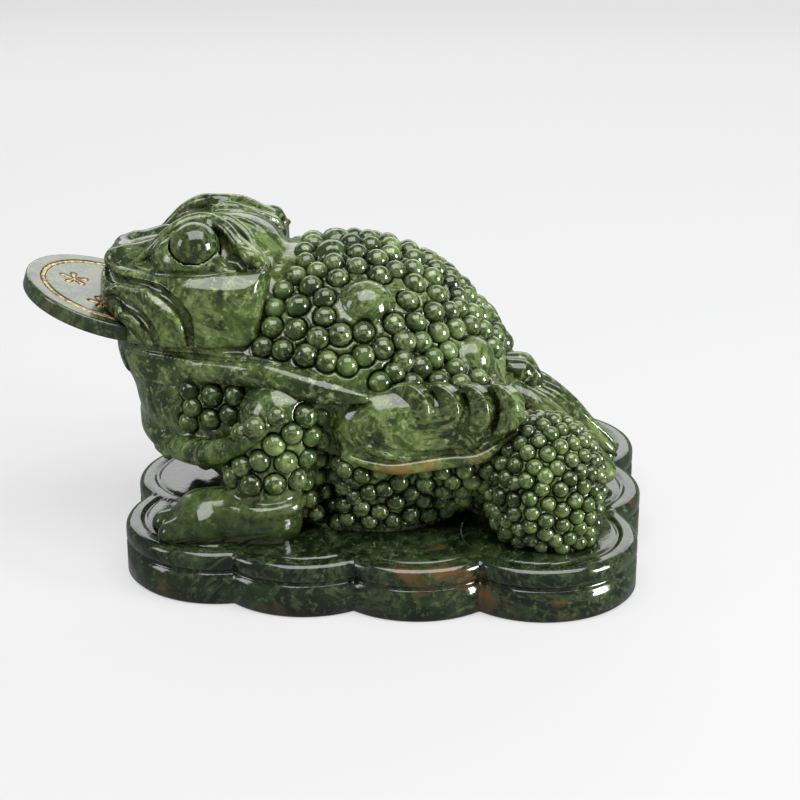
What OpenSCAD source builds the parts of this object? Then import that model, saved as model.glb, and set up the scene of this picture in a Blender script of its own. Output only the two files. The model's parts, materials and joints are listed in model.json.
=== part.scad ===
// Three-legged jade toad sitting on a plinth of overlapping coins, with a loose coin in its mouth.
// The toad faces -X, its left flank faces -Y and +Z is up. Its one hind leg is on its left.
// The origin is the centre of the plinth's underside.
// Everything but the loose coin and its gilding is carved from one block; each carved member is a
// node of its own, and the members meet face to face on flat planes.

/* [Plinth] */
// Length of the plinth, nose to tail
plinth_length = 192; // [184:1:204]
// Width of the plinth, flank to flank
plinth_width = 162; // [154:1:172]
// Height of the plinth, two layers of coins
plinth_height = 20; // [16:1:22]
// Diameter of each coin carved round the plinth
plinth_coin_d = 70; // [66:1:74]
// Rounding of the plinth's upper edge
plinth_edge = 4; // [1:0.5:6]
// Height of the groove between the two layers
plinth_groove_z = 12.5; // [9:0.5:13]
// Depth of the groove between the two layers
plinth_groove = 1.5; // [0.5:0.25:2]

/* [Mouth coin] */
// Diameter of the loose coin
coin_d = 64.5; // [60:0.5:66]
// Thickness of the loose coin
coin_t = 6; // [5:0.25:7]
// Clearance round the loose coin in the mouth
coin_gap = 0.5; // [0.3:0.1:1]
// Upward tilt of the coin's front edge and of the mouth
mouth_pitch = 18; // [14:1:20]
// Distance from the plinth's centre forward to the coin's centre
coin_reach = 105; // [102:1:110]
// Height of the coin's centre
coin_level = 89.4; // [87:0.1:91]
// Depth of the engraved and gilded lines
engraving = 0.6; // [0.3:0.1:1]

/* [Toad] */
// Diameter of each eyeball
eye_d = 19; // [17:0.5:21]
// Distance of each eyeball's centre from the mid-plane
eye_side = 24; // [22:0.5:26]
// Height of the throat, where the jaw meets the chest
throat_z = 71; // [68:1:74]
// Distance behind the coin's centre where the neck meets the back
neck_back = 66; // [62:1:70]
// Lean of the planes at the throat and at the neck
head_pitch = 6; // [3:1:9]

/* [Flank coins] */
// Diameter of each coin in the string on the flank
string_coin_d = 18; // [16:0.5:20]
// Spacing of the coins along the string
string_pitch = 10.5; // [9:0.5:11]
// Number of coins in the string
string_count = 4; // [3:1:4]

/* [Hidden] */

jade = [0.20, 0.30, 0.14];
dark_jade = [0.13, 0.21, 0.10];
light_jade = [0.30, 0.41, 0.20];
gold = [0.80, 0.60, 0.25];

round_fn = 72;
mass_fn = 26;
far = 400;
left = -1;
right = 1;

// Where the toad's parts end and the plinth begins
deck = plinth_height;

// Centres of the plinth's coins, from its length and width
end_x = plinth_length / 2 - plinth_coin_d / 2;
side_y = plinth_width / 2 - plinth_coin_d / 2;
side_coins = [[-0.95, 0.84], [-0.42, 1], [0.24, 1], [0.97, 0.93]];

// The mouth slot runs from the lip to just behind the coin
slot_r = coin_d / 2 + coin_gap;
slot_half = coin_t / 2 + coin_gap;
slot_sides = 12;
head_room = 90;
ring_r = 0.8 * coin_d / 2;
ring_w = 1.4;
petal_r = 3.2;
petal_ring_r = 15;
petal_count = 4;

// Zones of the torso that other members fill, as [low corner, high corner] on the +Y side
arm_zone = [[-120, 36, deck], [-17, 90, 76]];
thigh_zone = [[38, 30, deck], [120, 90, 82]];
flank_zone = [[-17, 50, 44], [38, 90, 82]];
string_zone = [[0, 50, 60], [53, 90, 82]];
tail_zone = [[44, -30, deck], [120, 30, 90]];

// The coins of the flank string
string_first_x = 12;
string_level = 69;
string_depth = 7;
string_step = 0.6;

// ---------- helpers ----------

module ball(mass) {
    translate([mass[0], mass[1], mass[2]]) sphere(r = mass[3], $fn = mass_fn);
}

// One smooth mass through a row of balls, each [x, y, z, radius]
module mass(balls) {
    hull() for (b = balls) ball(b);
}

// The same with every ball repeated on the other side of the mid-plane
module paired_mass(balls) {
    hull() for (b = balls, side = [left, right]) ball([b[0], side * b[1], b[2], b[3]]);
}

module zone(corners) {
    translate(corners[0]) cube(corners[1] - corners[0]);
}

// Puts a member drawn on the +Y side on the chosen side
module on_side(side) {
    mirror([0, side == left ? 1 : 0, 0]) children();
}

// The coin's own frame: origin at its centre, -X out of the mouth, +Z through its face
module mouth_frame() {
    translate([-coin_reach, 0, coin_level]) rotate([0, mouth_pitch, 0]) children();
}

// The space of the head and jaw: above the throat's plane and in front of the neck's
module head_space() {
    translate([-coin_reach, 0, throat_z]) rotate([0, head_pitch, 0])
        translate([-head_room, -head_room, 0]) cube([head_room + neck_back, 2 * head_room, head_room]);
}

// The slab between two heights above the middle of the coin, in the mouth's own plane
module mouth_slab(low_z, high_z) {
    mouth_frame() translate([-head_room, -head_room, low_z])
        cube([2 * head_room, 2 * head_room, high_z - low_z]);
}

// The path of the loose coin out of the mouth; its back wall is a row of flats round the coin
module coin_path() {
    corner_r = slot_r / cos(180 / slot_sides);
    mouth_frame() translate([0, 0, -slot_half]) {
        rotate([0, 0, 180 / slot_sides]) cylinder(r = corner_r, h = 2 * slot_half + 1, $fn = slot_sides);
        translate([-coin_d, -slot_r, 0]) cube([coin_d, 2 * slot_r, 2 * slot_half + 1]);
    }
}

// ---------- plinth ----------

// Half section of one plinth coin: two layers with a groove between and a rounded upper edge
module plinth_coin_section() {
    r = plinth_coin_d / 2;
    edge_steps = 5;
    edge = [for (i = [0:edge_steps]) let (a = 90 * i / edge_steps)
        [r - plinth_edge + plinth_edge * cos(a), plinth_height - plinth_edge + plinth_edge * sin(a)]];
    polygon(concat(
        [[0, 0], [r - 1, 0], [r, 1], [r, plinth_groove_z - plinth_groove],
         [r - plinth_groove, plinth_groove_z], [r, plinth_groove_z + plinth_groove]],
        edge,
        [[0, plinth_height]]
    ));
}

module plinth_coin() {
    rotate_extrude($fn = round_fn) plinth_coin_section();
}

module coin_plinth() color(dark_jade) {
    for (side = [left, right]) {
        translate([side * end_x, 0, 0]) plinth_coin();
        for (c = side_coins) translate([c[0] * end_x, side * c[1] * side_y, 0]) plinth_coin();
    }
    translate([-end_x, -side_y, 0]) cube([2 * end_x, 2 * side_y, plinth_height]);
}

// ---------- body ----------

module torso_mass() {
    paired_mass([
        [-67, 10, 44, 22],    // chest, low
        [-66, 12, 66, 25],    // chest, high
        [-14, 14, 84, 33],    // hump behind the head
        [-28, 26, 74, 32],    // shoulder
        [12, 20, 68, 35],     // rump
        [-8, 32, 48, 27],     // belly, front
        [22, 32, 50, 26],     // belly, rear
        [0, 20, 40, 26]       // belly, low
    ]);
}

module torso() color(jade) difference() {
    torso_mass();
    translate([-far / 2, -far / 2, deck - far]) cube(far);
    head_space();
    zone(tail_zone);
    on_side(left) zone(thigh_zone);
    for (side = [left, right]) on_side(side) {
        zone(arm_zone);
        zone(flank_zone);
        zone(string_zone);
    }
}

module skull_mass() {
    paired_mass([
        [-92, 13, 102, 11],   // snout
        [-84, 21, 93, 13],    // upper lip
        [-64, 9, 114, 13],    // brow
        [-55, 8, 115, 12],    // crest
        [-60, 24, 96, 16],    // cheek
        [-40, 22, 95, 22]     // neck
    ]);
}

module eyeball(side) {
    translate([-67, side * eye_side, 117.5]) sphere(d = eye_d, $fn = round_fn);
}

module head() color(jade) difference() {
    intersection() {
        skull_mass();
        head_space();
        mouth_slab(slot_half, head_room);
    }
    eyeball(left);
    eyeball(right);
}

module eye_left() color(light_jade) eyeball(left);

module eye_right() color(light_jade) eyeball(right);

module jaw_mass() {
    paired_mass([
        [-88, 15, 86, 14],    // chin
        [-74, 22, 90, 16],    // corner of the mouth
        [-62, 20, 80, 22],    // throat
        [-42, 22, 88, 24]     // neck
    ]);
}

module lower_jaw() color(jade) difference() {
    intersection() {
        jaw_mass();
        head_space();
        mouth_slab(-head_room, slot_half);
    }
    coin_path();
}

// ---------- legs ----------

// The arm and the foot; the top of the arm stops at the throat
module front_leg(side) on_side(side) difference() {
    intersection() {
        union() {
            mass([[-34, 40, 58, 17], [-34, 48, 50, 15], [-42, 50, 34, 12]]);
            mass([[-42, 50, 25, 11], [-62, 55, 24, 10], [-66, 44, 23, 9], [-75, 50, 22, 7]]);
        }
        zone(arm_zone);
    }
    head_space();
}

module front_leg_left() color(jade) front_leg(left);

module front_leg_right() color(jade) front_leg(right);

module hind_leg() color(light_jade) on_side(left) difference() {
    intersection() {
        mass([[58, 46, 52, 16], [60, 50, 42, 20], [61, 52, 34, 19], [48, 40, 54, 15]]);
        zone(thigh_zone);
    }
    zone(string_zone);
}

module tail() color(jade) intersection() {
    union() {
        mass([[44, 0, 60, 18], [58, 0, 50, 14], [60, 0, 34, 16]]);
        mass([[58, 0, 50, 14], [78, 0, 34, 10], [76, 0, 26, 10]]);
    }
    zone(tail_zone);
}

// ---------- flank ----------

// The string's coins lie on the flank like shingles, each a little prouder than the one behind it
module coin_string(side) on_side(side) intersection() {
    for (i = [0:string_count - 1])
        translate([string_first_x + i * string_pitch, string_zone[0][1], string_level])
            rotate([-90, 0, 0])
                cylinder(
                    d = string_coin_d,
                    h = string_depth + (string_count - 1 - i) * string_step,
                    $fn = round_fn
                );
    zone(string_zone);
}

module coin_string_left() color(light_jade) coin_string(left);

module coin_string_right() color(light_jade) coin_string(right);

// A broad smooth fold that hangs off the shoulder and sweeps back under the coin string
module flank_ribbon(side) on_side(side) difference() {
    intersection() {
        union() {
            mass([[-9, 48, 74, 9], [-8, 48, 58, 11]]);
            mass([[-8, 48, 56, 10], [34, 48, 54, 9]]);
        }
        zone(flank_zone);
    }
    zone(string_zone);
}

module flank_ribbon_left() color(dark_jade) flank_ribbon(left);

module flank_ribbon_right() color(dark_jade) flank_ribbon(right);

// ---------- loose coin ----------

module coin_engraving(depth) {
    translate([0, 0, coin_t / 2 - depth]) difference() {
        cylinder(r = ring_r + ring_w / 2, h = depth, $fn = round_fn);
        translate([0, 0, -depth]) cylinder(r = ring_r - ring_w / 2, h = 3 * depth, $fn = round_fn);
    }
    for (i = [0:petal_count - 1]) rotate([0, 0, i * 360 / petal_count])
        translate([petal_ring_r, 0, coin_t / 2 - depth]) cylinder(r = petal_r, h = depth, $fn = round_fn);
}

module coin_section() {
    r = coin_d / 2;
    edge = 0.8;
    polygon([
        [0, -coin_t / 2], [r - edge, -coin_t / 2], [r, -coin_t / 2 + edge],
        [r, coin_t / 2 - edge], [r - edge, coin_t / 2], [0, coin_t / 2]
    ]);
}

module mouth_coin() color(dark_jade) mouth_frame() difference() {
    rotate_extrude($fn = round_fn) coin_section();
    coin_engraving(engraving);
}

module coin_gilding() color(gold) mouth_frame() coin_engraving(engraving);

// ---------- output ----------

coin_plinth();
torso();
head();
lower_jaw();
eye_left();
eye_right();
front_leg_left();
front_leg_right();
hind_leg();
tail();
flank_ribbon_left();
flank_ribbon_right();
coin_string_left();
coin_string_right();
mouth_coin();
coin_gilding();
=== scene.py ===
"""The looks of a three-legged jade toad on a plinth of coins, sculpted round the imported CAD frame.

Every carved member is modelled in clay: a grid of signed distances to which smooth masses are
added, and from which grooves, sockets and creases are cut, as a carver does. Its skin becomes a mesh.
Places are in millimetres in the row frame: the toad faces -X, its left flank faces -Y, +Z is up.
"""
import json
import math

import bpy
import numpy as np
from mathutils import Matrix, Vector


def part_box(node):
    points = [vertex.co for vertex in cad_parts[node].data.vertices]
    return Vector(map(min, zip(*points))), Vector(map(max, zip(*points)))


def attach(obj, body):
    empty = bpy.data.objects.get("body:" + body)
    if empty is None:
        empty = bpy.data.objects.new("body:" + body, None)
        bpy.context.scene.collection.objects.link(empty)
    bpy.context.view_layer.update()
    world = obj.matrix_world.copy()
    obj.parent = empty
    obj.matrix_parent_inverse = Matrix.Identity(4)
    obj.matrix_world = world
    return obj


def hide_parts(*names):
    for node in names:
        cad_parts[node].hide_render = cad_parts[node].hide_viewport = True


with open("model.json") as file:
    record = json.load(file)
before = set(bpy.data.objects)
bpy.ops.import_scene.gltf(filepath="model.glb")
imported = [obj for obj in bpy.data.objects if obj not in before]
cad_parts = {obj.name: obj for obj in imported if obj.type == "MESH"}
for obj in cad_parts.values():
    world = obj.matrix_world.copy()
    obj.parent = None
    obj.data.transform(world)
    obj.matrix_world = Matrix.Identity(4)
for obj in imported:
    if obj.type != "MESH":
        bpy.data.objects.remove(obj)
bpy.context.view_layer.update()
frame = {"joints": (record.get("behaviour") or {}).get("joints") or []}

MM = 0.001
FAR = 1.0e3
SIDES = {"left": -1, "right": 1}

# ---------- places taken from the frame ----------


def corners(node):
    """Lowest and highest corner of a CAD node, in millimetres."""
    low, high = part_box(node)
    return np.array(low) / MM, np.array(high) / MM


def middle(node):
    """Middle of a CAD node's box, in millimetres."""
    low, high = corners(node)
    return (low + high) / 2


EYE = middle("eye_right")
EYE_R = (corners("eye_right")[1] - corners("eye_right")[0])[0] / 2
PLINTH_HIGH = corners("coin_plinth")[1]
DECK = PLINTH_HIGH[2]

# ---------- clay ----------

CELL_CORNERS = [(x, y, z) for x in (0, 1) for y in (0, 1) for z in (0, 1)]


def melt(a, b, blend):
    """The nearer of two distances, rounded where they meet."""
    if blend <= 0:
        return np.minimum(a, b)
    near = np.maximum(blend - np.abs(a - b), 0) / blend
    return np.minimum(a, b) - near * near * blend / 4


class Shape:
    """A distance function and the box that holds the shape."""

    def __init__(self, distance, low, high):
        self.distance = distance
        self.low = np.array(low, float)
        self.high = np.array(high, float)


def turned(angles):
    """Rotation matrix from degrees about X, then Y, then Z."""
    ax, ay, az = np.radians(angles)
    about_x = np.array([[1, 0, 0], [0, np.cos(ax), -np.sin(ax)], [0, np.sin(ax), np.cos(ax)]])
    about_y = np.array([[np.cos(ay), 0, np.sin(ay)], [0, 1, 0], [-np.sin(ay), 0, np.cos(ay)]])
    about_z = np.array([[np.cos(az), -np.sin(az), 0], [np.sin(az), np.cos(az), 0], [0, 0, 1]])
    return about_z @ about_y @ about_x


def own_axes(centre, turn, x, y, z):
    """Coordinates in a shape's own turned axes."""
    x, y, z = x - centre[0], y - centre[1], z - centre[2]
    if turn is None:
        return x, y, z
    m = turned(turn)
    return tuple(m[0, i] * x + m[1, i] * y + m[2, i] * z for i in range(3))


def egg(centre, radii, turn=None):
    """An ellipsoid, turned by degrees about X, Y and Z."""
    reach = max(radii)

    def distance(x, y, z):
        u, v, w = own_axes(centre, turn, x, y, z)
        a, b, c = radii
        size = np.sqrt((u / a) ** 2 + (v / b) ** 2 + (w / c) ** 2)
        slope = np.sqrt((u / a**2) ** 2 + (v / b**2) ** 2 + (w / c**2) ** 2)
        return size * (size - 1) / np.maximum(slope, 1e-6)

    return Shape(distance, np.array(centre) - reach, np.array(centre) + reach)


def limb(start, end, start_r, end_r):
    """A capsule from start to end whose radius changes evenly."""
    start, end = np.array(start, float), np.array(end, float)
    way = end - start
    length2 = max(float(way @ way), 1e-9)

    def distance(x, y, z):
        dx, dy, dz = x - start[0], y - start[1], z - start[2]
        t = np.clip((dx * way[0] + dy * way[1] + dz * way[2]) / length2, 0, 1)
        gap = np.sqrt((dx - t * way[0]) ** 2 + (dy - t * way[1]) ** 2 + (dz - t * way[2]) ** 2)
        return gap - (start_r + t * (end_r - start_r))

    reach = max(start_r, end_r)
    return Shape(distance, np.minimum(start, end) - reach, np.maximum(start, end) + reach)


def below(point, normal):
    """Half-space on the far side of a plane from its normal."""
    normal = np.array(normal, float) / np.linalg.norm(normal)

    def distance(x, y, z):
        return (x - point[0]) * normal[0] + (y - point[1]) * normal[1] + (z - point[2]) * normal[2]

    return Shape(distance, [-FAR] * 3, [FAR] * 3)


def disc(centre, radius, thickness, turn, edge=0.8):
    """A flat round plate with softened edges, its axis along its own Z."""

    def distance(x, y, z):
        u, v, w = own_axes(centre, turn, x, y, z)
        out = np.sqrt(u * u + v * v) - (radius - edge)
        up = np.abs(w) - (thickness / 2 - edge)
        outside = np.sqrt(np.maximum(out, 0) ** 2 + np.maximum(up, 0) ** 2)
        return outside + np.minimum(np.maximum(out, up), 0) - edge

    reach = radius + thickness
    return Shape(distance, np.array(centre) - reach, np.array(centre) + reach)


def drum(centre, radii, power, lean):
    """An upright block, superelliptic in plan, whose walls lean in by lean at its top and bottom."""

    def distance(x, y, z):
        u, v, w = x - centre[0], y - centre[1], z - centre[2]
        a, b, c = radii
        p, q = np.abs(u) / a + 1e-6, np.abs(v) / b + 1e-6
        size = (p**power + q**power) ** (1 / power)
        slope = np.sqrt(((p / size) ** (power - 1) / a) ** 2 + ((q / size) ** (power - 1) / b) ** 2)
        wall = (size - 1) / slope + lean * (w / c) ** 2
        return np.maximum(wall, np.abs(w) - c)

    return Shape(distance, np.array(centre) - radii, np.array(centre) + radii)


def bevel(first, second, width):
    """What a 45 degree bevel of this width leaves of the edge where two shapes meet."""

    def distance(x, y, z):
        return (first.distance(x, y, z) + second.distance(x, y, z)) * math.sqrt(0.5) + width / 2

    return Shape(distance, [-FAR] * 3, [FAR] * 3)


def smooth_path(points, count):
    """Evenly numbered points on a smooth curve through a few given ones."""
    p = np.array(points, float)
    padded = np.vstack([2 * p[0] - p[1], p, 2 * p[-1] - p[-2]])
    out = []
    for s in np.linspace(0, len(p) - 1, count):
        i = min(int(s), len(p) - 2)
        t = s - i
        a, b, c, d = padded[i : i + 4]
        bend = 2 * b + (c - a) * t + (2 * a - 5 * b + 4 * c - d) * t**2
        out.append((bend + (3 * b - 3 * c + d - a) * t**3) / 2)
    return np.array(out)


class Clay:
    """A block of signed distances in millimetres: negative inside."""

    def __init__(self, low, high, step):
        self.step = step
        self.low = np.array(low, float)
        size = np.ceil((np.array(high, float) - self.low) / step).astype(int) + 1
        self.axes = [(self.low[i] + step * np.arange(size[i])).astype(np.float32) for i in range(3)]
        self.field = np.full(size, FAR, np.float32)

    def window(self, low, high, margin):
        """The part of the grid that holds a box and a margin round it, and its coordinates."""
        first = np.floor((np.maximum(low, -FAR) - margin - self.low) / self.step).astype(int)
        last = np.ceil((np.minimum(high, FAR) + margin - self.low) / self.step).astype(int) + 1
        first = np.clip(first, 0, self.field.shape)
        last = np.clip(last, 0, self.field.shape)
        part = tuple(slice(a, b) for a, b in zip(first, last))
        x = self.axes[0][part[0]][:, None, None]
        y = self.axes[1][part[1]][None, :, None]
        z = self.axes[2][part[2]][None, None, :]
        return part, (x, y, z)

    def add(self, shape, blend=0.0):
        part, xyz = self.window(shape.low, shape.high, blend + 8)
        self.field[part] = melt(self.field[part], shape.distance(*xyz).astype(np.float32), blend)

    def cut(self, shape, blend=0.0):
        part, xyz = self.window(shape.low, shape.high, blend + 2 * self.step)
        self.field[part] = -melt(-self.field[part], shape.distance(*xyz).astype(np.float32), blend)

    def keep(self, shape, blend=0.0):
        """Cuts away everything outside the shape."""
        part, xyz = self.window([-FAR] * 3, [FAR] * 3, 0)
        self.field[part] = -melt(-self.field[part], -shape.distance(*xyz).astype(np.float32), blend)

    def rope(self, path, radii, reach):
        """Distances to a rope of changing radius, in the window round it."""
        path = np.array(path)
        top = max(radii)
        part, _ = self.window(path.min(0) - top, path.max(0) + top, reach)
        values = np.full([s.stop - s.start for s in part], FAR, np.float32)
        origin = np.array([s.start for s in part])
        for i in range(len(path) - 1):
            piece = limb(path[i], path[i + 1], radii[i], radii[i + 1])
            here, xyz = self.window(piece.low, piece.high, reach)
            spot = tuple(slice(s.start - o, s.stop - o) for s, o in zip(here, origin))
            values[spot] = np.minimum(values[spot], piece.distance(*xyz))
        return part, values

    def ridge(self, points, radii, lift=0.0, blend=1.5, settle=True):
        """Adds a rope along a path laid on the surface."""
        path, sizes = self.laid(points, radii, lift, settle)
        part, values = self.rope(path, sizes, blend + 3 * self.step)
        self.field[part] = melt(self.field[part], values, blend)

    def groove(self, points, radii, lift=0.0, blend=0.8, settle=True):
        """Cuts a rope along a path laid on the surface."""
        path, sizes = self.laid(points, radii, lift, settle)
        part, values = self.rope(path, sizes, blend + 3 * self.step)
        self.field[part] = -melt(-self.field[part], values, blend)

    def laid(self, points, radii, lift, settle):
        """A smooth path through the points, on the surface if settled, and the radii along it."""
        count = 8 * (len(points) - 1) + 1
        path = smooth_path(points, count)
        stations = np.linspace(0, len(radii) - 1, count)
        sizes = np.interp(stations, np.arange(len(radii)), radii)
        if settle:
            path, normals = self.settle(path)
            path = path + lift * normals
        return path, sizes

    def sample(self, points):
        """The field at any points, from the eight grid points round each."""
        q = (np.asarray(points, float) - self.low) / self.step
        q = np.clip(q, 0, np.array(self.field.shape) - 1.001)
        cells = q.astype(int)
        total = 0
        for corner in CELL_CORNERS:
            share = np.abs(1 - np.array(corner) - (q - cells)).prod(1)
            total = total + share * self.field[tuple((cells + corner).T)]
        return total

    def slope(self, points):
        """How steeply the field rises along each axis."""
        slopes = np.zeros((len(points), 3))
        for k in range(3):
            nudge = np.zeros(3)
            nudge[k] = self.step
            slopes[:, k] = (self.sample(points + nudge) - self.sample(points - nudge)) / (2 * self.step)
        return slopes

    def normals(self, points):
        slopes = self.slope(points)
        return slopes / np.maximum(np.linalg.norm(slopes, axis=1), 1e-6)[:, None]

    def settle(self, points, rounds=8):
        """Moves points onto the surface. Returns them and the normals there."""
        points = np.array(points, float)
        for _ in range(rounds):
            slopes = self.slope(points)
            size2 = np.maximum((slopes**2).sum(1), 0.1)
            points = points - (self.sample(points) / size2)[:, None] * slopes
        return points, self.normals(points)


def closed_field(clay):
    """The field with its outermost layer outside, so that the skin is always closed."""
    field = clay.field.copy()
    for axis in range(3):
        for end in (0, -1):
            face = [slice(None)] * 3
            face[axis] = end
            field[tuple(face)] = np.maximum(field[tuple(face)], clay.step / 2)
    return field


def cell_points(clay, field, cells):
    """One point in each surface cell: the mean of its edge crossings."""
    at_corner = {c: field[tuple((cells + c).T)] for c in CELL_CORNERS}
    total = np.zeros((len(cells), 3))
    hits = np.zeros(len(cells))
    for c in CELL_CORNERS:
        for k in range(3):
            if c[k]:
                continue
            other = tuple(1 if i == k else c[i] for i in range(3))
            a, b = at_corner[c], at_corner[other]
            crosses = (a < 0) != (b < 0)
            t = np.where(crosses, a / np.where(crosses, a - b, 1), 0)
            at = np.tile(np.array(c, float), (len(cells), 1))
            at[:, k] += t
            total += at * crosses[:, None]
            hits += crosses
    return clay.low + clay.step * (cells + total / hits[:, None])


def skin(clay):
    """Surface nets: the points and quads of the clay's surface."""
    field = closed_field(clay)
    inside = field < 0
    size = [n - 1 for n in field.shape]
    count = np.zeros(size, np.int8)
    for c in CELL_CORNERS:
        count += inside[tuple(slice(o, o + n) for o, n in zip(c, size))]
    cells = np.argwhere((count > 0) & (count < 8))
    number = np.full(size, -1, np.int32)
    number[tuple(cells.T)] = np.arange(len(cells))
    points = cell_points(clay, field, cells)
    quads = []
    for k in range(3):
        i, j = [(1, 2), (2, 0), (0, 1)][k]
        low, high = [slice(1, -1)] * 3, [slice(1, -1)] * 3
        low[k], high[k] = slice(0, -1), slice(1, None)
        a, b = inside[tuple(low)], inside[tuple(high)]
        offset = np.ones(3, int)
        offset[k] = 0
        back_i, back_j = np.zeros(3, int), np.zeros(3, int)
        back_i[i] = back_j[j] = 1
        for outward, edges in ((True, a & ~b), (False, ~a & b)):
            cell = np.argwhere(edges) + offset
            around = (cell - back_i - back_j, cell - back_j, cell, cell - back_i)
            ring = np.stack([number[tuple(c.T)] for c in around], 1)
            quads.append(ring if outward else ring[:, ::-1])
    return points, np.vstack(quads)


# ---------- beads ----------

SITE_CLOUD = 7000
SPREAD_ROUNDS = 14
CUP_LIFT = 0.32
CUP_SIZE = 1.23
BEAD_SINK = 0.32
BEAD_SPREAD = 0.07


def spread_sites(clay, allowed, pitch, seed):
    """Places a pitch apart, spread evenly where allowed(points, normals) holds."""
    points, _ = skin(clay)
    normals = clay.normals(points)
    keep = allowed(points, normals)
    points, normals = points[keep], normals[keep]
    share = clay.step**2 / np.abs(normals).sum(1)
    count = max(int(share.sum() / (math.sqrt(0.75) * pitch**2)), 1)
    rng = np.random.default_rng(seed)
    pick = rng.permutation(len(points))[:SITE_CLOUD]
    cloud, share = points[pick], share[pick]
    sites = np.empty((count, 3))
    nearest = np.full(len(cloud), FAR)
    for i in range(count):
        sites[i] = cloud[np.argmax(nearest)]
        nearest = np.minimum(nearest, ((cloud - sites[i]) ** 2).sum(1))
    for _ in range(SPREAD_ROUNDS):
        gaps = (cloud**2).sum(1)[:, None] - 2 * cloud @ sites.T + (sites**2).sum(1)
        owner = np.argmin(gaps, 1)
        weight = np.maximum(np.bincount(owner, share, count), 1e-9)
        moved = [np.bincount(owner, share * cloud[:, k], count) / weight for k in range(3)]
        sites = np.stack(moved, 1)
    return clay.settle(sites)


def ball(centre, radius):
    return egg(centre, (radius,) * 3)


def cup(clay, site, normal, radius):
    """Cuts the round socket that a cup burr leaves round a bead."""
    clay.cut(ball(site + CUP_LIFT * radius * normal, CUP_SIZE * radius))


def ball_mesh(rings=9, segments=16):
    """Points and quads of a unit ball with its pole along +Z."""
    points = [(0, 0, 1)]
    for i in range(1, rings):
        a = math.pi * i / rings
        for j in range(segments):
            b = 2 * math.pi * j / segments
            points.append((math.sin(a) * math.cos(b), math.sin(a) * math.sin(b), math.cos(a)))
    points.append((0, 0, -1))
    last = len(points) - 1
    faces = []
    for j in range(segments):
        k = (j + 1) % segments
        faces.append((0, 1 + j, 1 + k))
        faces.append((last, last - segments + k, last - segments + j))
        for i in range(rings - 2):
            a = 1 + i * segments
            faces.append((a + j, a + segments + j, a + segments + k, a + k))
    return np.array(points), faces


def beads_mesh(sites, normals, radii):
    """All the beads' points and faces; each is sunk by a share of its radius."""
    unit, unit_faces = ball_mesh()
    points, faces = [], []
    for i, (site, normal, radius) in enumerate(zip(sites, normals, radii)):
        points.append(site - BEAD_SINK * radius * normal + radius * unit)
        faces += [tuple(v + i * len(unit) for v in f) for f in unit_faces]
    return np.vstack(points), faces


# ---------- meshes ----------


def make_piece(name, points, faces, body, slot, nodes=(), material=None):
    """A mesh object from points in millimetres, riding on its body."""
    mesh = bpy.data.meshes.new(name)
    mesh.from_pydata((np.asarray(points) * MM).tolist(), [], [tuple(map(int, f)) for f in faces])
    mesh.shade_smooth()
    piece = bpy.data.objects.new(name, mesh)
    bpy.context.scene.collection.objects.link(piece)
    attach(piece, body)
    if nodes:
        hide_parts(*nodes)
    mesh.materials.append(material or MATERIALS[slot])


def clay_piece(name, clay, slot, nodes=(), material=None):
    """A member of the carving: the skin of its clay."""
    points, faces = skin(clay)
    make_piece(name, points, faces, "carving", slot, nodes, material)


def mirrored(points, side):
    """Points given on the +Y side, put on the chosen side."""
    return [(x, side * y, z) for x, y, z in points]


# ---------- materials ----------

BLACK = (0, 0, 0)


def grey(level):
    return (level, level, level)


def new_material(name):
    """A material, its node tree and its shader."""
    material = bpy.data.materials.new(name)
    material.use_nodes = True
    tree = material.node_tree
    return material, tree, tree.nodes["Principled BSDF"]


def noise(tree, scale, detail=4.0, roughness=0.55, distortion=0.0):
    """Noise in the object's own coordinates; scale is in features per metre."""
    texture = tree.nodes.new("ShaderNodeTexNoise")
    texture.inputs["Scale"].default_value = scale
    texture.inputs["Detail"].default_value = detail
    texture.inputs["Roughness"].default_value = roughness
    texture.inputs["Distortion"].default_value = distortion
    place = tree.nodes.new("ShaderNodeTexCoord")
    tree.links.new(place.outputs["Object"], texture.inputs["Vector"])
    return texture.outputs["Fac"]


def ramp(tree, source, stops):
    """Turns a value from 0 to 1 into a colour that changes between the stops."""
    node = tree.nodes.new("ShaderNodeValToRGB")
    band = node.color_ramp
    while len(band.elements) < len(stops):
        band.elements.new(0.5)
    for element, (at, colour) in zip(band.elements, stops):
        element.position = at
        element.color = (*colour, 1)
    tree.links.new(source, node.inputs["Fac"])
    return node.outputs["Color"]


def mix(tree, share, first, second):
    """The first colour with a share of a second, even one laid over it."""
    node = tree.nodes.new("ShaderNodeMix")
    node.data_type = "RGBA"
    tree.links.new(share, node.inputs["Factor"])
    tree.links.new(first, node.inputs["A"])
    node.inputs["B"].default_value = (*second, 1)
    return node.outputs["Result"]


def tint(tree, colour, second, stops, **cloud):
    """Lays a second colour over the first where a noise passes the stops."""
    return mix(tree, ramp(tree, noise(tree, **cloud), stops), colour, second)


def height(tree):
    """Height above the table, in metres."""
    place = tree.nodes.new("ShaderNodeTexCoord")
    parts = tree.nodes.new("ShaderNodeSeparateXYZ")
    tree.links.new(place.outputs["Object"], parts.inputs["Vector"])
    return parts.outputs["Z"]


def painted_crevice_shade(tree, openness):
    """Painted shade: how far the stone darkens where it is less open than this, as shade falls in crevices
    and between parts.
    """
    shade = tree.nodes.new("ShaderNodeAmbientOcclusion")
    shade.samples = 6
    shade.inputs["Distance"].default_value = 0.006
    return ramp(tree, shade.outputs["AO"], [(0.2, grey(0.85)), (openness, BLACK)])


DULL_BROWN = (0.13, 0.075, 0.018)


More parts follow.
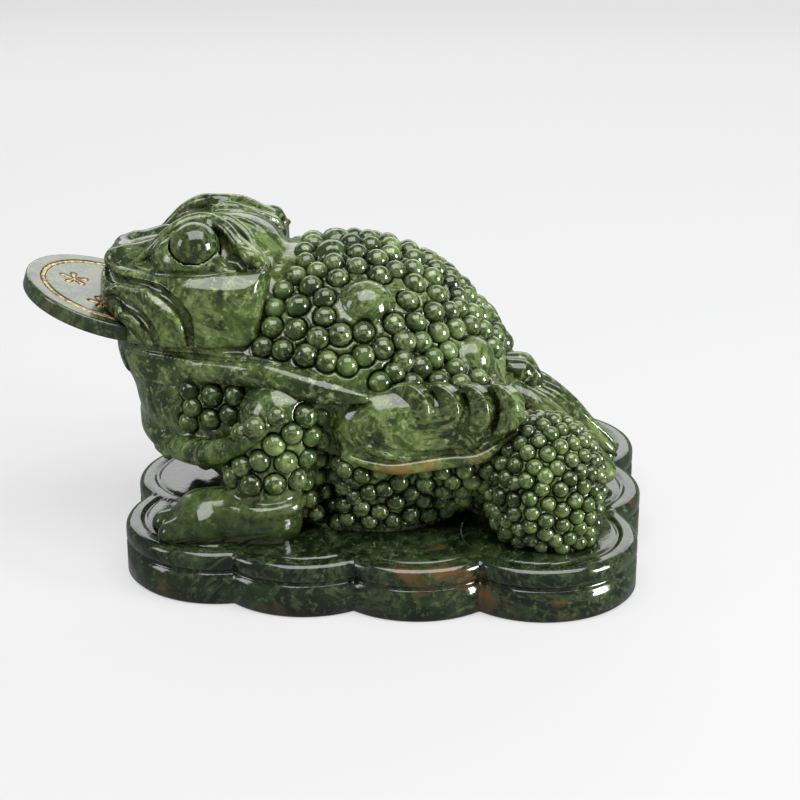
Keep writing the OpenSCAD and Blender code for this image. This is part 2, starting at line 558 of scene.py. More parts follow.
def jade(name, greens, brown_from, brown=DULL_BROWN, low_shade=0.0, openness=0.8):
    """Polished stone in four greens, from dark to pale, and brown where a noise passes brown_from.

    Low down, near the plinth, it is darker by low_shade. Places less open than openness get painted shade,
    darker in crevices and between parts.
    """
    dark, mid, light, pale = greens
    material, tree, shader = new_material(name)
    clouds = noise(tree, 75, detail=6, roughness=0.62, distortion=0.2)
    colour = ramp(tree, clouds, [(0.37, dark), (0.5, mid), (0.66, light)])
    # Wide dark regions, then small dark specks
    colour = tint(tree, colour, dark, [(0.40, grey(0.75)), (0.56, BLACK)], scale=28, detail=2)
    colour = tint(tree, colour, dark, [(0.36, grey(0.6)), (0.56, BLACK)], scale=240, detail=3)
    # Pale streaks, then pale flecks
    colour = tint(tree, colour, pale, [(0.45, BLACK), (0.5, grey(0.28)), (0.55, BLACK)],
                  scale=38, detail=5, roughness=0.7, distortion=1.6)
    colour = tint(tree, colour, pale, [(0.56, BLACK), (0.76, grey(0.8))], scale=420, detail=3)
    # Brown stains
    colour = tint(tree, colour, brown, [(brown_from, BLACK), (brown_from + 0.08, grey(0.8))],
                  scale=34, detail=6, roughness=0.6, distortion=0.6)
    if low_shade:
        low = ramp(tree, height(tree), [(0.026, grey(low_shade)), (0.042, BLACK)])
        colour = mix(tree, low, colour, dark)
    # Painted shade: darker in crevices and between parts, from ambient occlusion
    colour = mix(tree, painted_crevice_shade(tree, openness), colour, tuple(0.25 * level for level in dark))
    tree.links.new(colour, shader.inputs["Base Color"])
    # The polish is a little uneven
    wear = ramp(tree, noise(tree, 170, detail=3), [(0.3, grey(0.054)), (0.7, grey(0.144))])
    tree.links.new(wear, shader.inputs["Roughness"])
    shader.inputs["IOR"].default_value = 1.6
    shader.inputs["Subsurface Weight"].default_value = 0.1
    shader.inputs["Subsurface Radius"].default_value = (0.5, 1.0, 0.35)
    shader.inputs["Subsurface Scale"].default_value = 0.004
    bump = tree.nodes.new("ShaderNodeBump")
    bump.inputs["Strength"].default_value = 0.12
    bump.inputs["Distance"].default_value = 0.0005
    tree.links.new(noise(tree, 320, detail=4), bump.inputs["Height"])
    tree.links.new(bump.outputs["Normal"], shader.inputs["Normal"])
    return material


def gilding():
    """Gold paint, worn thin in places."""
    material, tree, shader = new_material("gilding")
    worn = ramp(tree, noise(tree, 600, detail=5),
                [(0.38, (0.10, 0.075, 0.03)), (0.52, (0.55, 0.34, 0.12)), (0.65, (0.80, 0.55, 0.22))])
    tree.links.new(worn, shader.inputs["Base Color"])
    shader.inputs["Metallic"].default_value = 0.6
    rough = ramp(tree, noise(tree, 350), [(0.3, grey(0.3)), (0.7, grey(0.5))])
    tree.links.new(rough, shader.inputs["Roughness"])
    return material


def paper():
    """The pale floor, a little self-lit so that it stays even."""
    material, _, shader = new_material("floor")
    shader.inputs["Base Color"].default_value = (0.19, 0.19, 0.19, 1)
    shader.inputs["Roughness"].default_value = 0.9
    shader.inputs["Specular IOR Level"].default_value = 0.1
    shader.inputs["Emission Color"].default_value = (1, 1, 1, 1)
    shader.inputs["Emission Strength"].default_value = 0.56
    return material


# The greens of each stone, from dark to pale
BODY_GREENS = [(0.010, 0.020, 0.004), (0.040, 0.072, 0.014), (0.115, 0.175, 0.045), (0.28, 0.35, 0.14)]
SMOOTH_GREENS = [(0.009, 0.018, 0.004), (0.043, 0.075, 0.014), (0.130, 0.195, 0.048), (0.30, 0.37, 0.14)]
PLINTH_GREENS = [(0.003, 0.006, 0.002), (0.009, 0.019, 0.006), (0.030, 0.050, 0.016), (0.08, 0.11, 0.045)]
COIN_GREENS = [(0.012, 0.022, 0.008), (0.036, 0.056, 0.018), (0.080, 0.110, 0.038), (0.15, 0.18, 0.08)]
HEM_GREENS = [(0.014, 0.028, 0.006), (0.055, 0.090, 0.018), (0.145, 0.20, 0.05), (0.30, 0.36, 0.15)]
EYE_GREENS = [(0.010, 0.018, 0.004), (0.036, 0.060, 0.012), (0.105, 0.155, 0.038), (0.17, 0.22, 0.09)]

MATERIALS = {
    "jade": jade("jade", BODY_GREENS, 0.72),
    "jade_smooth": jade("jade_smooth", SMOOTH_GREENS, 0.66, openness=0.94),
    "jade_plinth": jade("jade_plinth", PLINTH_GREENS, 0.62, brown=(0.09, 0.045, 0.012)),
    "jade_coin": jade("jade_coin", COIN_GREENS, 0.62),
    "gilding": gilding(),
}
STAINED = jade("jade_stained", HEM_GREENS, 0.50, brown=(0.17, 0.095, 0.022))
LEG_STONE = jade("jade_leg", BODY_GREENS, 0.72, low_shade=0.85)
EYE_STONE = jade("eye_stone", EYE_GREENS, 0.58, brown=(0.075, 0.045, 0.014))

# ---------- torso ----------

# Large domes among the beads: place on the +Y side, and radius
STAR_BUMPS = [((-20, 8, 114), 6.0), ((-4, 33, 103), 9.2), ((35, 23, 79), 8.6)]
# Middle of the smooth band that runs from the chin along the jaw to the flank
BAND_PATH = [(-92, 11, 72), (-83, 23, 74), (-69, 33, 75.5), (-52, 40, 77), (-38, 46, 77.5), (-18, 53, 75),
             (-3, 56.5, 74)]
BAND_RADII = [2.6, 4.9, 5.6, 5.8, 5.9, 5.2, 1.8]
# The roll of skin along the throat pouch's lower edge
POUCH_RIM = [(-89, 5, 47), (-85, 18, 45), (-75, 31, 43.5), (-62, 44, 46), (-50, 54, 53), (-41, 58.5, 61),
             (-34, 58, 67)]
POUCH_RADII = [5, 5, 5, 4.8, 4.2, 3.8, 2]
THROAT_CREASE = [(-84, 26, 63), (-80, 28, 54), (-78, 28, 46)]
ARMPIT = [(-17, 57, 68), (-18, 55, 55), (-18, 51, 40), (-16, 46, 27)]
# Moat round the root of the tail, from side to side
TAIL_MOAT = [(41, -22, 56), (44, -12, 67), (45, 0, 71), (44, 12, 67), (41, 22, 56)]


def band_height(x):
    """Height of the band's middle at x."""
    path = np.array(BAND_PATH)
    return np.interp(x, path[:, 0], path[:, 2])


def torso_clay():
    """Back, chest, throat pouch, hips and belly, before anything is cut into them."""
    clay = Clay((-100, -66, 17), (64, 66, 124), 0.8)
    clay.add(egg((-16, 0, 58), (60, 55, 56)))
    clay.add(egg((4, 0, 50), (48, 53, 35)), 12)
    clay.add(egg((-62, 0, 60), (33, 39, 28)), 12)
    clay.add(egg((-76, 0, 69), (23.5, 27, 12)), 5)
    clay.add(egg((30, -36, 52), (24, 19, 24)), 8)
    clay.add(egg((27, 28, 50), (22, 21, 22)), 8)
    clay.add(drum((-4, 0, 32), (38, 51.5, 13), power=2.5, lean=2), 8)
    return clay


def star_bumps(clay):
    """The large domes among the beads, each in a moat."""
    for place, radius in STAR_BUMPS:
        for side in SIDES.values():
            sites, normals = clay.settle(mirrored([place], side))
            clay.cut(ball(sites[0] + 0.5 * radius * normals[0], 1.16 * radius))
            clay.add(ball(sites[0] - 0.6 * radius * normals[0], 1.12 * radius))


def off_stars(points, margin):
    """Whether each point is clear of the large domes."""
    clear = np.ones(len(points), bool)
    for place, radius in STAR_BUMPS:
        for side in SIDES.values():
            spot = np.array(mirrored([place], side)[0], float)
            clear &= np.linalg.norm(points - spot, axis=1) > radius + margin
    return clear


def on_back(points, normals):
    """Behind the cheeks and the crest, above the neck band and the coin strings, and round the rump."""
    x, y, z = points[:, 0], np.abs(points[:, 1]), points[:, 2]
    behind_head = x > np.where(z > 108, -33, np.where(z > 92, -41, -44))
    above_string = np.where(points[:, 1] < 0, 74, 68)
    above_band = z > np.where(x < 0, band_height(x) + 6, above_string)
    tail_root = (y < 14) & (z < 76) & (x > 40)
    rump = (x > 47) & (z > 24)
    return behind_head & (above_band | rump) & off_stars(points, 1.6) & ~tail_root


def on_belly(points, normals):
    """The low part of the flanks, between the front legs and the hips."""
    x, y, z = points[:, 0], np.abs(points[:, 1]), points[:, 2]
    return (x > -34) & (x < 46) & (z > 22) & (z < 49) & (y > 22)


def on_throat(points, normals):
    """The side of the throat, between the neck band and the pouch's rim."""
    x, y, z = points[:, 0], np.abs(points[:, 1]), points[:, 2]
    return (x > -73) & (x < -30) & (z > 54 + 0.30 * (x + 62)) & (z < band_height(x) - 5) & (y > 27)


def bead_bed(name, clay, region, pitch, radius, seed):
    """Rows of round beads, each in the ring that a cup burr leaves."""
    sites, normals = spread_sites(clay, region, pitch, seed)
    radii = radius * (1 + BEAD_SPREAD * np.random.default_rng(seed).uniform(-1, 1, len(sites)))
    for site, normal, bead_radius in zip(sites, normals, radii):
        cup(clay, site, normal, bead_radius)
    points, faces = beads_mesh(sites, normals, radii)
    make_piece(name, points, faces, "carving", "jade")


def torso():
    """Body with its creases, throat folds, domes and three beds of beads."""
    clay = torso_clay()
    for side in SIDES.values():
        clay.groove(mirrored(ARMPIT, side), [5, 6, 6, 5], blend=3, settle=False)
        clay.ridge(mirrored(POUCH_RIM, side), POUCH_RADII, blend=3, settle=False)
        clay.groove(mirrored(THROAT_CREASE, side), [0.6, 1.2, 0.6])
        for y in range(0, 36, 7):
            fold = [(-86, y, 38), (-80, y, 28), (-78, y, 18)]
            clay.ridge(mirrored(fold, side), [1.0, 2.2, 2.6], blend=1.0)
    clay.groove(TAIL_MOAT, [1.2, 2.2, 2.4, 2.2, 1.2], lift=-0.6)
    star_bumps(clay)
    bead_bed("back_beads", clay, on_back, 8.5, 4.25, 3)
    bead_bed("belly_beads", clay, on_belly, 7.1, 3.4, 5)
    bead_bed("throat_beads", clay, on_throat, 8.4, 4.0, 8)
    clay_piece("torso_skin", clay, "jade", ["torso"])


# ---------- head ----------

SLIDE_AXIS = np.array(frame["joints"][0]["axis"])
MOUTH_PITCH = math.degrees(math.atan2(SLIDE_AXIS[2], -SLIDE_AXIS[0]))
MOUTH_TURN = (0, MOUTH_PITCH, 0)
MOUTH_UP = np.array([math.sin(math.radians(MOUTH_PITCH)), 0, math.cos(math.radians(MOUTH_PITCH))])
COIN_R = (corners("mouth_coin")[1] - corners("mouth_coin")[0])[1] / 2
COIN_T = 6.0
COIN = middle("mouth_coin")
COIN_CLEAR = 0.5
# How far the coin has slid at each cut, in steps small enough to leave straight walls
COIN_TRAVELS = range(0, 48, 6)


def cut_coin_path(clay):
    """Opens the mouth for the loose coin, all the way along its slide."""
    for travel in COIN_TRAVELS:
        place = COIN + travel * SLIDE_AXIS
        clay.cut(disc(place, COIN_R + COIN_CLEAR, COIN_T + 2 * COIN_CLEAR, MOUTH_TURN))


def head_base(clay):
    """Lips and cheeks below a bevelled ledge, and the narrower skull that rises from it."""
    walls = drum((-50, 0, 90), (57, 41, 26), power=2.3, lean=3.6)
    ledge = below((-102, 0, 107.4), (-0.075, 0, 1))
    clay.add(walls)
    clay.keep(below((-41, 0, 0), (1, 0, 0)), 8)
    clay.keep(ledge, 0.5)
    clay.keep(bevel(walls, ledge, 6.5), 1.0)
    clay.keep(below((-63, 0, 84), (0.08, 0, -1)), 3)
    clay.add(egg((-68, 0, 104), (36, 26, 11)), 0.4)
    clay.add(limb((-99.3, -8, 107), (-99.3, 8, 107), 4.6, 4.6), 1.5)
    clay.add(egg((-36, 0, 98), (20, 30, 14)), 3)
    clay.add(egg((-58, 0, 111), (20, 17, 12.5)), 4)
    for side in SIDES.values():
        clay.add(limb((-99, side * 8, 107), (-84, side * 9, 110.5), 4.3, 5.5), 2)
        clay.add(egg((-95, side * 9, 110.5), (4, 2.8, 2.6)), 1.5)
        clay.add(egg((EYE[0], side * 19, 110.5), (17, 14, 12)), 1.5)
        clay.add(limb((-62, side * 12, 118), (-47, side * 23, 112), 7, 5), 3)


EYEBALL_R = 0.94 * EYE_R
# The right eye sits a little lower and closer in than the left one
EYE_SHIFT = {-1: np.zeros(3), 1: np.array([0, -3, -2.5])}
# Lines of the head on the +Y side, each from the front to the rear
BROW = [(-90, 17, 109), (-84, 18, 114.5), (-78, 17, 120), (-71, 14.5, 123.8), (-64, 13, 124.4),
        (-57, 18, 122.8), (-52, 23, 119.3), (-47, 26.5, 115.8), (-43, 29.5, 112)]
BROW_RADII = [1.0, 1.9, 2.3, 2.6, 2.7, 2.6, 2.4, 2.2, 0.8]
# The dark hollow between the brow and the eyeball
LID_CREASE = [(-70, 20.5, 125), (-64, 20.5, 124.5), (-59.5, 22, 122), (-56, 25.5, 118.5), (-53, 29, 115.5),
              (-47, 33, 111.8)]
# Where the skull rises from the ledge over the cheek
LEDGE_CREASE = [(-101, 11, 107.3), (-93, 18, 108), (-84, 27, 108.8), (-75, 32, 109.5), (-64, 33.5, 110.3),
                (-53, 31, 111), (-40, 31, 112)]
# The crown: a raised line behind each brow, creases between them, and a leaf-shaped fold at its side
CREST = [(-66, 6, 125.5), (-57, 8, 125), (-47, 14, 120), (-37, 20, 114.5)]
CROWN_CREASES = [
    [(-62, 3, 124), (-53, 5, 121.5), (-45, 7, 118)],
    [(-58, 11, 123), (-50, 16, 119.5), (-42, 21, 115)],
]
LEAF = [(-52, 28.5, 119.5), (-46, 31, 116), (-40, 32.5, 112)]
# Under the upper lip, and down the front of the cheek
LIP = [(-103.2, 8, 104), (-97.6, 18, 102.4), (-90.5, 26, 103.2), (-81.4, 32, 103.8),
       (-75.7, 35, 102.7), (-71.3, 37, 99.5), (-68, 39, 94.5), (-66.9, 39, 85.5)]
LIP_RADII = [1.2, 2.0, 2.2, 2.1, 2.1, 2.3, 2.4, 1.5]
# The rounded lobe at the corner of the mouth: its raised rim, the hollow inside it, and a fold
LOBE_RIM = [(-99, 17, 98), (-95, 23, 99), (-88, 28, 100), (-80.5, 33, 99.5), (-74.5, 36, 96.5),
            (-71, 38, 92), (-69.5, 39, 86)]
LOBE_HOLLOW = [(-98, 18, 96), (-94, 23, 96.8), (-88, 28.5, 95.5), (-83, 32, 92), (-80, 34, 87.5),
               (-79.5, 34, 84.5)]
LOBE_FOLD = [(-97.5, 18, 94), (-92, 24, 91), (-86.5, 29, 88.5), (-83, 32, 85)]


def eye_centre(side):
    """Centre of one eyeball."""
    return np.array([EYE[0], side * EYE[1], EYE[2]]) + EYE_SHIFT[side]


def head():
    """Skull with brows, lids, lips and crown creases, opened for the eyes and the loose coin."""
    clay = Clay((-110, -54, 70), (-12, 54, 130), 0.58)
    head_base(clay)
    for side in SIDES.values():
        centre = eye_centre(side)
        clay.ridge(mirrored(BROW, side), BROW_RADII, blend=1.0, settle=False)
        clay.groove(mirrored(LEDGE_CREASE, side), [0.5, 0.9, 1.2, 1.2, 1.2, 1.1, 0.5], lift=-0.2, blend=0.3)
        clay.groove(mirrored(LID_CREASE, side), [0.5, 1.8, 2.7, 3.1, 2.6, 0.8], lift=-0.9, blend=0.3)
        clay.cut(ball(centre, EYEBALL_R + 0.5), 0.2)
        clay.ridge(mirrored(CREST, side), [1.6, 2.3, 2.3, 0.6], lift=0.1, blend=1.0)
        clay.ridge(mirrored(LEAF, side), [0.6, 3.0, 0.6], lift=0.3, blend=0.4)
        for crease in CROWN_CREASES:
            clay.groove(mirrored(crease, side), [0.4, 1.4, 0.4], lift=-0.3, blend=0.6)
        clay.groove(mirrored(LIP, side), LIP_RADII, lift=-0.8, blend=0.3)
        clay.ridge(mirrored(LOBE_RIM, side), [0.4, 1.1, 1.5, 1.5, 1.5, 1.4, 0.6], lift=0.2, blend=1.2)
        clay.groove(mirrored(LOBE_HOLLOW, side), [0.8, 2.2, 2.8, 2.6, 2.0, 0.8], lift=-0.6, blend=0.3)
        clay.ridge(mirrored(LOBE_FOLD, side), [0.4, 1.2, 1.2, 0.4], lift=0.2, blend=0.8)
    cut_coin_path(clay)
    clay_piece("head_skin", clay, "jade_smooth", ["head"])


# Along the top of the smooth band, and down beside the chin
JAW_CREASE = [(-86, 30, 80), (-71, 37, 80.8), (-57, 41.5, 82), (-44, 46, 83), (-33, 49, 82.5)]
CHIN_CREASE = [(-94.5, 14, 78), (-91, 17, 73), (-86, 21, 68)]


def lower_jaw():
    """Jaw and the smooth band that runs back from it along the neck."""
    clay = Clay((-104, -66, 58), (8, 66, 96), 0.6)
    clay.add(drum((-50, 0, 77), (51.5, 40, 10), power=2.2, lean=2))
    for side in SIDES.values():
        clay.ridge(mirrored(BAND_PATH, side), BAND_RADII, blend=1.5, settle=False)
        clay.groove(mirrored(JAW_CREASE, side), [0.5, 1.1, 1.2, 1.1, 0.5], lift=-0.3, blend=0.3)
        clay.groove(mirrored(CHIN_CREASE, side), [1.0, 1.6, 0.8], lift=-0.3, blend=0.4)
    cut_coin_path(clay)
    clay_piece("lower_jaw_skin", clay, "jade_smooth", ["lower_jaw"])


def eye(name, side):
    """One plain eyeball."""
    points, faces = ball_mesh(24, 48)
    points = eye_centre(side) + EYEBALL_R * points
    make_piece(f"{name}_eyeball", points, faces, "carving", "jade_smooth", [f"eye_{name}"], EYE_STONE)


# ---------- limbs ----------


def side_clay(side, low, high, step=0.6):
    """Clay for a member given on the +Y side, put on the chosen side."""
    edges = sorted([side * low[1], side * high[1]])
    return Clay((low[0], edges[0], low[2]), (high[0], edges[1], high[2]), step)


FOREARM_CUFF = [(-56, 46, 32), (-51, 57, 31.5), (-40, 62, 31), (-29, 57, 32), (-26, 48, 33)]
# Where each toe ends: its y on the +Y side, and its x
TOE_TIPS = [(44, -73), (52, -76), (61, -72)]


def front_leg(name, side):
    """Upper arm with beads, a cuff of skin below them, and a foot with three toes."""
    clay = side_clay(side, (-94, 28, 17), (-10, 72, 82))
    clay.add(limb((-33, side * 44, 61), (-39, side * 48, 40), 16.5, 14))
    clay.add(limb((-39, side * 52, 25), (-62, side * 52, 24), 13, 11), 3)
    for toe_y, toe_x in TOE_TIPS:
        root_y = 52 + 0.7 * (toe_y - 52)
        clay.add(limb((-62, side * root_y, 23.5), (toe_x, side * toe_y, 21.5), 8, 5), 2)

    def on_arm(points, normals):
        x, z = points[:, 0], points[:, 2]
        return (z > 38) & (z < np.minimum(70, 48 + 0.9 * (x + 50))) & (normals[:, 1] * side > -0.3)

    bead_bed(f"arm_beads_{name}", clay, on_arm, 8.8, 4.2, 11)
    clay.ridge(mirrored(FOREARM_CUFF, side), [2, 3, 3.4, 3, 2], blend=1.0, settle=False)
    clay_piece(f"front_leg_{name}_skin", clay, "jade", [f"front_leg_{name}"], LEG_STONE)


def hind_leg():
    """The one hind leg: a beaded thigh."""
    side = SIDES["left"]
    clay = side_clay(side, (34, 18, 17), (86, 68, 76))
    clay.add(egg((60, side * 44, 40), (21, 20, 24)))
    clay.add(limb((58, side * 48, 30), (66, side * 50, 26), 14, 12), 8)

    def on_thigh(points, normals):
        return (points[:, 2] > 20) & (normals[:, 1] * side > -0.6)

    bead_bed("thigh_beads", clay, on_thigh, 6.0, 2.95, 21)
    clay_piece("hind_leg_skin", clay, "jade", ["hind_leg"])


# Strands of the tail on one side: their middle lines, and their radii along them
TAIL_STRANDS = [
    ([(43, 3, 67), (50, 4, 66), (56, 3, 62)], [4.0, 5.0, 2.0]),
    ([(52, 3, 60), (62, 3, 54.5), (72, 3, 46), (82, 4, 38), (86.5, 4, 34)], [3.0, 4.2, 3.8, 2.4, 0.6]),
    ([(46, 9, 61), (56, 11, 56), (67, 12, 46.5), (77, 10, 35.5), (82, 8, 29)], [4.2, 5.2, 5.4, 5.0, 4.6]),
    ([(48, 17, 54), (58, 18, 50), (67, 17, 41), (73, 15, 33)], [3.2, 4.0, 3.6, 1.6]),
]


def tail():
    """Tapering root with strands laid along it, each with a crease beside its middle."""
    clay = Clay((32, -24, 17), (95, 24, 84), 0.6)
    clay.add(limb((44, 0, 57), (58, 0, 48), 11, 10))
    clay.add(limb((58, 0, 48), (76, 0, 30), 10, 6), 3)
    clay.add(egg((64, 0, 27), (16, 12, 13)), 6)
    for side in SIDES.values():
        for strand, radii in TAIL_STRANDS:
            clay.ridge(mirrored(strand, side), radii, blend=0.5, settle=False)
            middle_line = [(x, y - 1.0, z + 0.6) for x, y, z in strand]
            clay.groove(mirrored(middle_line, side), [0.2, 0.6, 0.2], blend=0.3)
    clay_piece("tail_skin", clay, "jade_smooth", ["tail"])


# The carving isn't quite symmetrical: the flank's ornaments sit lower and further forward on its right
FLANK_DROP = {-1: np.zeros(3), 1: np.array([-14, 0, -13])}


def shift(clay, step):
    """Moves a finished clay block bodily."""
    clay.low = clay.low + step


# The stained rope along the ribbon's lower edge
HEM = [(-12, 55, 51), (0, 60, 47), (12, 60, 46.5), (24, 58, 48.5), (36, 55, 53), (50, 49, 60)]
HEM_RADII = [1.2, 2.0, 2.6, 2.8, 2.2, 1.0]
# Two folds along the ribbon: a long one above the hem, and a short one at its front end
LONG_FOLD = [(-8, 58, 64), (0, 60, 58), (14, 60, 54), (30, 57, 55), (46, 50, 62)]
FRONT_FOLD = [(-12, 54, 60), (-5, 60, 53), (8, 61, 50)]
PLEATS = 6


def ribbon_hem(name, side, ribbon):
    """The hem, laid along the surface of the ribbon's clay."""
    path, radii = ribbon.laid(mirrored(HEM, side), HEM_RADII, lift=0.4, settle=True)
    clay = side_clay(side, (-24, 34, 38), (62, 72, 86), 0.5)
    part, values = clay.rope(path, radii, 1)
    clay.field[part] = values
    shift(clay, FLANK_DROP[side])
    clay_piece(f"ribbon_hem_{name}", clay, "jade_smooth", material=STAINED)


def flank_ribbon(name, side):
    """Draped ribbon with pleats, folds and a hem."""
    clay = side_clay(side, (-22, 36, 40), (60, 70, 84))
    clay.add(egg((4, side * 47, 60), (20, 13.5, 16)))
    clay.add(egg((20, side * 46, 62), (26, 12, 14)), 5)
    clay.add(limb((8, side * 51, 56), (34, side * 48, 58), 8.5, 8), 4)
    clay.add(limb((34, side * 49, 57), (52, side * 45, 63), 7.5, 3), 3)
    for i in range(PLEATS):
        pleat = [(2 + 8 * i, 58, 63), (-3 + 8 * i, 60, 57), (-10 + 8 * i, 58, 51)]
        clay.groove(mirrored(pleat, side), [0.3, 1.0, 0.4], blend=0.5)
    ribbon_hem(name, side, clay)
    clay.groove(mirrored(LONG_FOLD, side), [0.6, 1.5, 1.8, 1.5, 0.6], blend=0.5)
    clay.groove(mirrored(FRONT_FOLD, side), [0.5, 1.2, 0.5], blend=0.5)
    shift(clay, FLANK_DROP[side])
    clay_piece(f"flank_ribbon_{name}_skin", clay, "jade_smooth", [f"flank_ribbon_{name}"])


STRING_COINS = 4


def coin_string(name, side):
    """Small coins laid like shingles, each lifting its rear edge over the next one."""
    clay = side_clay(side, (-4, 38, 52), (64, 70, 86), 0.5)
    for i in reversed(range(STRING_COINS)):
        place = (12 + 10.5 * i, side * (52.5 - 0.5 * i), 68.5 + 0.3 * i)
        turn = (90 + side * 10, 0, side * 26)
        clay.cut(disc(place, 11.4, 14, turn))
        clay.add(disc(place, 10 - 0.3 * i, 6.6, turn, edge=1.0))
    shift(clay, FLANK_DROP[side])
    clay_piece(f"coin_string_{name}_skin", clay, "jade_smooth", [f"coin_string_{name}"])


# ---------- plinth and loose coin ----------

PLINTH_COIN_R = 35.0
INNER_RIM_R = 28.0
# Height and depth of the groove round the wall, and radius of the rounded upper edge
GROOVE_Z = 12.5
GROOVE = 1.5
EDGE = 3.0
EDGE_STEPS = 8
OUTLINE_POINTS = 720
# Places of the coins along one side, as shares of the end coins' x and the side coins' y
SIDE_COINS = [(-0.95, 0.84), (-0.42, 1), (0.24, 1), (0.97, 0.93)]


def plinth_centres():
    """Centres of the plinth's coins, worked out from its size, in the order in which they overlap."""
    end_x = PLINTH_HIGH[0] - PLINTH_COIN_R
    side_y = PLINTH_HIGH[1] - PLINTH_COIN_R
    centres = []
    for side in SIDES.values():
        centres += [(along * end_x, side * out * side_y) for along, out in SIDE_COINS]
    return np.array(centres + [(-end_x, 0), (end_x, 0)])


def plinth_outline(centres, ways, inset):
    """Where rays from the middle leave the union of the coins, each smaller by the inset."""
    along = ways @ centres.T
    across2 = (centres**2).sum(1)[None, :] - along**2
    inside = (PLINTH_COIN_R - inset) ** 2 - across2
    reach = np.where(inside > 0, along + np.sqrt(np.maximum(inside, 0)), 0)
    return ways * reach.max(1)[:, None]


def plinth_top(points, centres):
    """Height of the top: each coin has a sunk ring inside its rim, and its edge shows where it overlaps."""
    level = np.full(len(points), DECK)
    for centre in centres:
        out = np.linalg.norm(points - centre, axis=1)
        on_coin = out < PLINTH_COIN_R - 0.5
        ring = np.exp(-(((out - INNER_RIM_R) / 0.8) ** 2))
        edge = np.exp(-(((out - PLINTH_COIN_R + 0.5) / 0.7) ** 2))
        level = np.where(on_coin, DECK - 0.9 * ring - 0.8 * edge, level)
    return level


def plinth():
    """Lobed slab of coins: rings of points round the outline at each inset and height."""
    centres = plinth_centres()
    turn = np.linspace(0, 2 * math.pi, OUTLINE_POINTS, endpoint=False)
    ways = np.stack([np.cos(turn), np.sin(turn)], 1)
    # Inset and height up the wall: a bevelled foot, a groove, and a rounded upper edge
    profile = [(1.0, 0.0), (0.0, 1.0), (0.0, GROOVE_Z - GROOVE), (GROOVE * 0.7, GROOVE_Z - GROOVE * 0.5),
               (GROOVE, GROOVE_Z), (GROOVE * 0.7, GROOVE_Z + GROOVE * 0.5), (0.0, GROOVE_Z + GROOVE),
               (0.0, DECK - EDGE)]
    for i in range(1, EDGE_STEPS + 1):
        a = math.radians(90 * i / EDGE_STEPS)
        profile.append((EDGE - EDGE * math.cos(a), DECK - EDGE + EDGE * math.sin(a)))
    rings = []
    for inset, z in profile:
        rings.append(np.column_stack([plinth_outline(centres, ways, inset), np.full(len(turn), z)]))
    rim = rings[-1][:, :2]
    # The top's rings are close together where the coins show, and far apart under the toad
    shares = np.concatenate([np.linspace(1, 0.45, 76)[1:], np.linspace(0.45, 0.05, 6)[1:]])
    for share in shares:
        flat = rim * share
        rings.append(np.column_stack([flat, plinth_top(flat, centres)]))
    points = np.vstack(rings)
    n = len(turn)
    faces = []
    for r in range(len(rings) - 1):
        for j in range(n):
            k = (j + 1) % n
            faces.append((r * n + j, r * n + k, (r + 1) * n + k, (r + 1) * n + j))
    faces.append(tuple(range(n - 1, -1, -1)))
    faces.append(tuple((len(rings) - 1) * n + j for j in range(n)))
    make_piece("plinth_slab", points, faces, "carving", "jade_plinth", ["coin_plinth"])


RING_R = 0.8 * COIN_R
RING_T = 1.5
FLOWERS = 4
FLOWER_R = 14.5
PETALS = 5


def hoop(centre, radius, thickness, turn):
    """A ring of round section."""

    def distance(x, y, z):
        u, v, w = own_axes(centre, turn, x, y, z)
        return np.sqrt((np.sqrt(u * u + v * v) - radius) ** 2 + w * w) - thickness / 2

    reach = radius + thickness
    return Shape(distance, np.array(centre) - reach, np.array(centre) + reach)


def around_mouth(angle):
    """A direction in the loose coin's plane, turned by an angle from the toad's rear."""
    return math.cos(angle) * -SLIDE_AXIS + math.sin(angle) * np.array([0, 1, 0])


def coin_marks(grow):
    """The ring and the flowers on the loose coin's upper face, fatter by grow."""
    face = COIN + (COIN_T / 2) * MOUTH_UP
    marks = [hoop(face, RING_R, RING_T + grow, MOUTH_TURN)]
    for i in range(FLOWERS):
        flower_turn = 2 * math.pi * i / FLOWERS
        heart = face + FLOWER_R * around_mouth(flower_turn)
        for j in range(PETALS):
            way = around_mouth(flower_turn + 2 * math.pi * j / PETALS)
            marks.append(limb(heart + 1.4 * way, heart + 4.4 * way, 0.55 + grow / 2, 0.95 + grow / 2))
        marks.append(ball(heart, 0.7 + grow / 2))
    return marks


def loose_coin():
    """The coin with its engraved marks, and the gold that fills them."""
    low, high = corners("mouth_coin")
    clay = Clay(low - 2, high + 2, 0.45)
    clay.add(disc(COIN, COIN_R, COIN_T, MOUTH_TURN, edge=0.9))
    under = COIN - (COIN_T / 2) * MOUTH_UP
    clay.cut(hoop(under, RING_R, RING_T, MOUTH_TURN))
    for mark in coin_marks(0.5):
        clay.cut(mark)
    points, faces = skin(clay)
    make_piece("loose_coin", points, faces, "coin", "jade_coin", ["mouth_coin"])
    gold = Clay(low - 2, high + 2, 0.3)
    for mark in coin_marks(0.2):
        gold.add(mark)
    gold.keep(below(COIN + (COIN_T / 2 - 0.15) * MOUTH_UP, MOUTH_UP))
    points, faces = skin(gold)
    make_piece("coin_inlay", points, faces, "coin", "gilding", ["coin_gilding"])


# ---------- studio ----------

TOAD_MIDDLE = Vector((0, 0, 60)) * MM


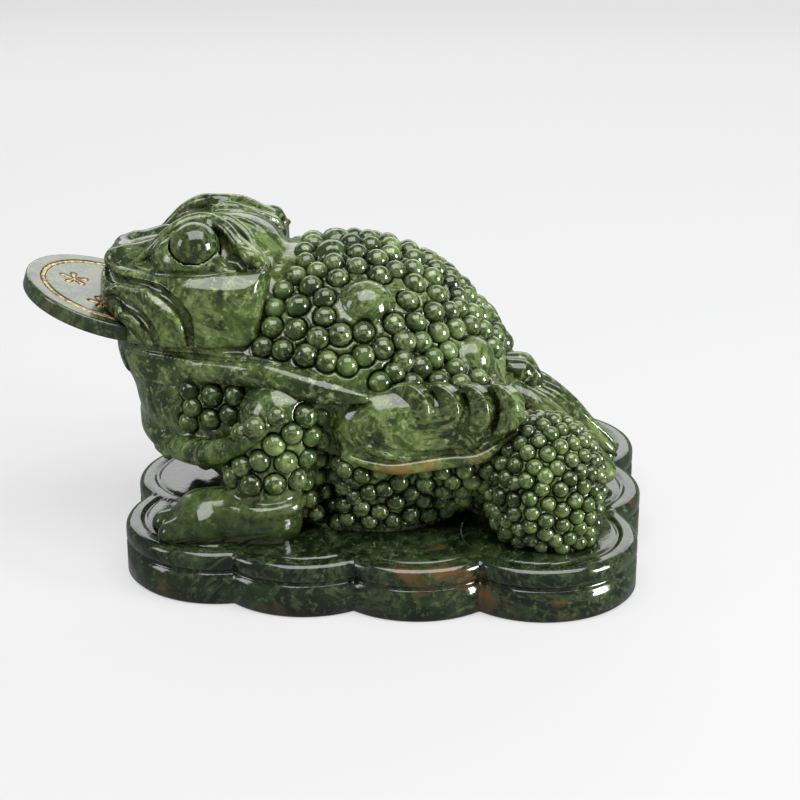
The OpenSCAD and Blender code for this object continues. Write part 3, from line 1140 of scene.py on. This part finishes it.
def studio():
    """Pale floor that curves up into a backdrop, and a soft even sky."""
    floor = bpy.data.meshes.new("floor")
    front, back, curve_r, steps = -5.0, 1.1, 0.6, 24
    top, half_width = 3.0, 5.0
    profile = [(front, 0.0)]
    for i in range(steps + 1):
        a = math.pi / 2 * i / steps
        profile.append((back + curve_r * math.sin(a), curve_r * (1 - math.cos(a))))
    profile.append((back + curve_r, top))
    points = [(x, y, z) for y, z in profile for x in (-half_width, half_width)]
    faces = [(2 * i, 2 * i + 1, 2 * i + 3, 2 * i + 2) for i in range(len(profile) - 1)]
    floor.from_pydata(points, [], faces)
    floor.shade_smooth()
    piece = bpy.data.objects.new("floor", floor)
    bpy.context.scene.collection.objects.link(piece)
    floor.materials.append(paper())
    piece.visible_glossy = False
    world = bpy.data.worlds.new("studio")
    world.use_nodes = True
    world.node_tree.nodes["Background"].inputs["Color"].default_value = (0.94, 0.97, 1.0, 1)
    world.node_tree.nodes["Background"].inputs["Strength"].default_value = 0.25
    bpy.context.scene.world = world
    bpy.context.scene.view_settings.view_transform = "Standard"


def softbox(name, place, size, power, mirrored_in_stone=True):
    """A soft rectangular light aimed at the toad's middle. The polished stone can mirror it or not."""
    light = bpy.data.lights.new(name, "AREA")
    light.shape = "RECTANGLE"
    light.size, light.size_y = size
    light.energy = power
    box = bpy.data.objects.new(name, light)
    box.location = place
    box.rotation_euler = (TOAD_MIDDLE - Vector(place)).to_track_quat("-Z", "Y").to_euler()
    box.visible_glossy = mirrored_in_stone
    bpy.context.scene.collection.objects.link(box)


def camera():
    """Looks at the left flank from above and a little from the rear, as the photo does."""
    target = Vector((4.5, 0, 52)) * MM
    azimuth, elevation, distance = math.radians(5), math.radians(21), 0.75
    level = math.cos(elevation)
    way = Vector((math.sin(azimuth) * level, -math.cos(azimuth) * level, math.sin(elevation)))
    lens = bpy.data.cameras.new("camera")
    lens.lens = 89.4
    lens.sensor_width = 36
    view = bpy.data.objects.new("camera", lens)
    view.location = target + distance * way
    view.rotation_euler = (-way).to_track_quat("-Z", "Y").to_euler()
    bpy.context.scene.collection.objects.link(view)
    bpy.context.scene.camera = view


camera()
studio()
softbox("side_light", (0.95, -0.30, 0.22), (0.30, 0.40), 13)
softbox("top_light", (0.10, -0.30, 1.15), (1.3, 0.9), 19)
softbox("back_light", (-0.1, 1.00, 0.62), (1.8, 0.55), 6.5)
softbox("left_light", (-0.95, -0.35, 0.45), (0.3, 0.4), 2)
softbox("fill_light", (0.10, -1.20, 0.08), (1.6, 0.4), 3, mirrored_in_stone=False)

plinth()
torso()
head()
lower_jaw()
for side_name, side_sign in SIDES.items():
    eye(side_name, side_sign)
    front_leg(side_name, side_sign)
    flank_ribbon(side_name, side_sign)
    coin_string(side_name, side_sign)
hind_leg()
tail()
loose_coin()
